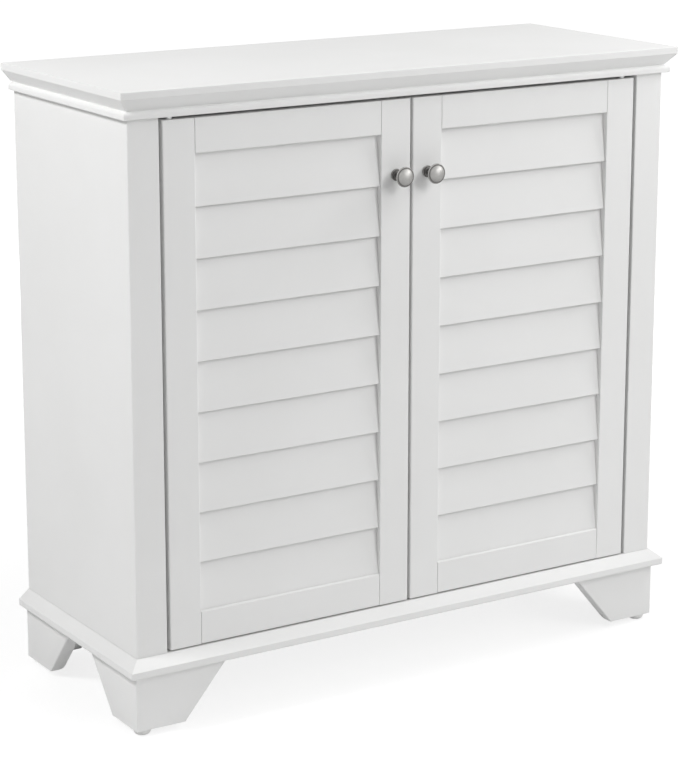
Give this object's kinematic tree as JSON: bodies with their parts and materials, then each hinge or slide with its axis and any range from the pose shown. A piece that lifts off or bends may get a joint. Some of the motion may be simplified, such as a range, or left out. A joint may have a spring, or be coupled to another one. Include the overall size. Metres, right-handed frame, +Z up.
{
  "type": "louvred door cabinet",
  "caption": "White free-standing cabinet with a pair of hinged louvred doors, satin metal knobs, an inner shelf, moulded top and base, and bracket feet.",
  "frame": {"origin": "on the floor under the middle of the bounding box, midway between the knobs' fronts and the top's back edge", "axes": "+X to the right seen from the front, +Y to the back, +Z up; the doors face -Y"},
  "size_m": [0.896, 0.3696, 0.867],
  "materials": {
    "white_paint": "satin white paint on wood",
    "satin_nickel": "satin nickel",
    "steel": "zinc plated",
    "glide_plastic": "matt",
    "white_plastic": "satin"
  },
  "bodies": {
    "case": {"back_left_foot": "white_paint", "back_panel": "white_paint", "back_right_foot": "white_paint", "base_front": "white_paint", "base_left": "white_paint", "base_right": "white_paint", "bottom_panel": "white_paint", "crown_front": "white_paint", "crown_left": "white_paint", "crown_right": "white_paint", "door_catches": "white_plastic", "foot_blocks": "white_paint", "foot_glides": "glide_plastic", "front_left_foot": "white_paint", "front_right_foot": "white_paint", "left_front_post": "white_paint", "left_side_panel": "white_paint", "pivot_bushes": "white_plastic", "right_front_post": "white_paint", "right_side_panel": "white_paint", "shelf": "white_paint", "shelf_pins": "steel", "top_back_rail": "white_paint", "top_front_rail": "white_paint", "top_panel": "white_paint"},
    "left_door": {"left_bottom_rail": "white_paint", "left_hinge_stile": "white_paint", "left_knob": "satin_nickel", "left_knob_screw": "steel", "left_lock_stile": "white_paint", "left_louvre_1": "white_paint", "left_louvre_2": "white_paint", "left_louvre_3": "white_paint", "left_louvre_4": "white_paint", "left_louvre_5": "white_paint", "left_louvre_6": "white_paint", "left_louvre_7": "white_paint", "left_louvre_8": "white_paint", "left_louvre_9": "white_paint", "left_pivots": "steel", "left_strike_plate": "steel", "left_top_rail": "white_paint"},
    "right_door": {"right_bottom_rail": "white_paint", "right_hinge_stile": "white_paint", "right_knob": "satin_nickel", "right_knob_screw": "steel", "right_lock_stile": "white_paint", "right_louvre_1": "white_paint", "right_louvre_2": "white_paint", "right_louvre_3": "white_paint", "right_louvre_4": "white_paint", "right_louvre_5": "white_paint", "right_louvre_6": "white_paint", "right_louvre_7": "white_paint", "right_louvre_8": "white_paint", "right_louvre_9": "white_paint", "right_pivots": "steel", "right_strike_plate": "steel", "right_top_rail": "white_paint"}
  },
  "joints": [
    {"name": "left_door_swing", "type": "hinge", "parent": "case", "child": "left_door", "pos_m": [-0.3665, -0.14325, 0.469], "axis": [0, 0, -1], "range_deg": [0, 110]},
    {"name": "right_door_swing", "type": "hinge", "parent": "case", "child": "right_door", "pos_m": [0.3665, -0.14325, 0.469], "axis": [0, 0, 1], "range_deg": [0, 110]}
  ]
}
